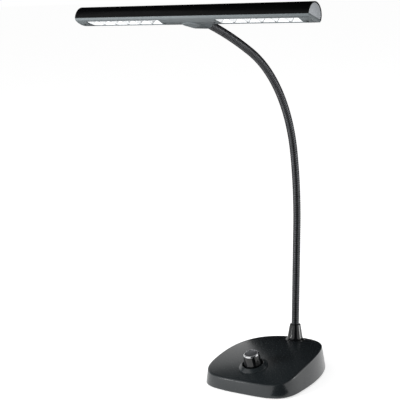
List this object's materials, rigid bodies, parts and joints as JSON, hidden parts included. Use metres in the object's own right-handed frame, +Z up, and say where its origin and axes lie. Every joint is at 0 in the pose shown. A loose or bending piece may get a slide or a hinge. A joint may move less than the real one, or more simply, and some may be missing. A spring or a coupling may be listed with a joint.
{
  "type": "piano lamp",
  "caption": "Piano lamp with a rounded wedge base, a dimmer knob in a raised collar, a ribbed gooseneck and a long light bar with two rows of reflector cells under a domed cover.",
  "frame": {"origin": "on the table, under the middle of the base between its front edge and its rear tip", "axes": "+X along the light bar to its right end, -Y to the front where the knob and the bar are, +Z up"},
  "size_m": [0.321, 0.2415, 0.4877],
  "materials": {
    "satin_black_housing": "satin black moulded housing",
    "black_painted_steel": "satin black paint on sheet steel",
    "raw_cast_iron": "as cast",
    "plated_steel": "zinc plated",
    "black_rubber": "matt black",
    "gloss_black_knob": "gloss black",
    "polished_chamfer": "polished",
    "circuit_board": "green solder mask",
    "black_socket": "matt black moulding",
    "gloss_black_boot": "gloss black moulding",
    "black_gooseneck": "semi-gloss black on wound steel",
    "satin_grey_moulding": "satin dark grey",
    "gloss_black_cover": "gloss black finish on an extruded section",
    "pale_grey_caps": "satin pale grey",
    "bright_reflector": "bright metallised reflector",
    "white_light_board": "white solder mask",
    "led_lens": "yellow phosphor",
    "black_screws": "black oxide"
  },
  "bodies": {
    "base": {"base_housing": "satin_black_housing", "base_plate": "black_painted_steel", "base_weight": "raw_cast_iron", "base_screws": "plated_steel", "rubber_mat": "black_rubber", "knob_collar": "satin_black_housing", "control_body": "plated_steel", "control_nut": "plated_steel", "driver_board": "circuit_board", "power_socket": "black_socket", "boot": "gloss_black_boot", "neck_stem": "plated_steel", "stem_nut": "plated_steel", "neck_01": "black_gooseneck"},
    "knob": {"control_shaft": "plated_steel", "dimmer_knob": "gloss_black_knob", "knob_ring": "polished_chamfer"},
    "neck_piece_02": {"neck_02": "black_gooseneck"},
    "neck_piece_03": {"neck_03": "black_gooseneck"},
    "neck_piece_04": {"neck_04": "black_gooseneck"},
    "neck_piece_05": {"neck_05": "black_gooseneck"},
    "neck_piece_06": {"neck_06": "black_gooseneck"},
    "neck_piece_07": {"neck_07": "black_gooseneck"},
    "neck_piece_08": {"neck_08": "black_gooseneck"},
    "neck_piece_09": {"neck_09": "black_gooseneck"},
    "neck_piece_10": {"neck_10": "black_gooseneck"},
    "neck_piece_11": {"neck_11": "black_gooseneck"},
    "head": {"neck_12": "black_gooseneck", "head_hub": "satin_grey_moulding", "head_cover": "gloss_black_cover", "head_tray": "satin_grey_moulding", "end_cap_left": "pale_grey_caps", "end_cap_right": "pale_grey_caps", "reflector_left": "bright_reflector", "reflector_right": "bright_reflector", "light_board_left": "white_light_board", "light_board_right": "white_light_board", "leds_left": "led_lens", "leds_right": "led_lens", "tray_screws": "black_screws"}
  },
  "joints": [
    {"name": "knob_turn", "type": "hinge", "parent": "base", "child": "knob", "pos_m": [0, -0.048, 0.02755], "axis": [0, 0.2142, -0.9768], "range_deg": [0, 280]},
    {"name": "neck_lower_bend", "type": "hinge", "parent": "base", "child": "neck_piece_02", "pos_m": [0, 0.06193, 0.07898], "axis": [1, 0, 0], "range_deg": [-6, 6]},
    {"name": "neck_sway", "type": "hinge", "parent": "neck_piece_02", "child": "neck_piece_03", "pos_m": [0, 0.06653, 0.12349], "axis": [0, 0.9947, -0.1028], "range_deg": [-7, 7]},
    {"name": "neck_lower_bend_2", "type": "hinge", "parent": "neck_piece_03", "child": "neck_piece_04", "pos_m": [0, 0.07113, 0.168], "axis": [1, 0, 0], "range_deg": [-6, 6]},
    {"name": "neck_lower_bend_3", "type": "hinge", "parent": "neck_piece_04", "child": "neck_piece_05", "pos_m": [0, 0.07471, 0.2126], "axis": [1, 0, 0], "range_deg": [-6, 6]},
    {"name": "neck_sway_2", "type": "hinge", "parent": "neck_piece_05", "child": "neck_piece_06", "pos_m": [0, 0.07426, 0.25733], "axis": [0, 0.9984, 0.0572], "range_deg": [-7, 7]},
    {"name": "neck_upper_bend", "type": "hinge", "parent": "neck_piece_06", "child": "neck_piece_07", "pos_m": [0, 0.06895, 0.30172], "axis": [1, 0, 0], "range_deg": [-8, 7]},
    {"name": "neck_upper_bend_2", "type": "hinge", "parent": "neck_piece_07", "child": "neck_piece_08", "pos_m": [0, 0.05407, 0.3438], "axis": [1, 0, 0], "range_deg": [-8, 7]},
    {"name": "neck_sway_3", "type": "hinge", "parent": "neck_piece_08", "child": "neck_piece_09", "pos_m": [0, 0.02947, 0.38105], "axis": [0, 0.761, 0.6488], "range_deg": [-7, 7]},
    {"name": "neck_upper_bend_3", "type": "hinge", "parent": "neck_piece_09", "child": "neck_piece_10", "pos_m": [0, -0.00342, 0.41124], "axis": [1, 0, 0], "range_deg": [-8, 7]},
    {"name": "neck_upper_bend_4", "type": "hinge", "parent": "neck_piece_10", "child": "neck_piece_11", "pos_m": [0, -0.04213, 0.43359], "axis": [1, 0, 0], "range_deg": [-8, 7]},
    {"name": "neck_upper_bend_5", "type": "hinge", "parent": "neck_piece_11", "child": "head", "pos_m": [0, -0.08268, 0.45251], "axis": [1, 0, 0], "range_deg": [-8, 7]}
  ],
  "couplings": [
    {"joint": "neck_lower_bend_2", "follows": "neck_lower_bend", "ratio": 1},
    {"joint": "neck_lower_bend_3", "follows": "neck_lower_bend", "ratio": 1},
    {"joint": "neck_sway_2", "follows": "neck_sway", "ratio": 1},
    {"joint": "neck_upper_bend_2", "follows": "neck_upper_bend", "ratio": 1},
    {"joint": "neck_sway_3", "follows": "neck_sway", "ratio": 1},
    {"joint": "neck_upper_bend_3", "follows": "neck_upper_bend", "ratio": 1},
    {"joint": "neck_upper_bend_4", "follows": "neck_upper_bend", "ratio": 1},
    {"joint": "neck_upper_bend_5", "follows": "neck_upper_bend", "ratio": 1}
  ]
}
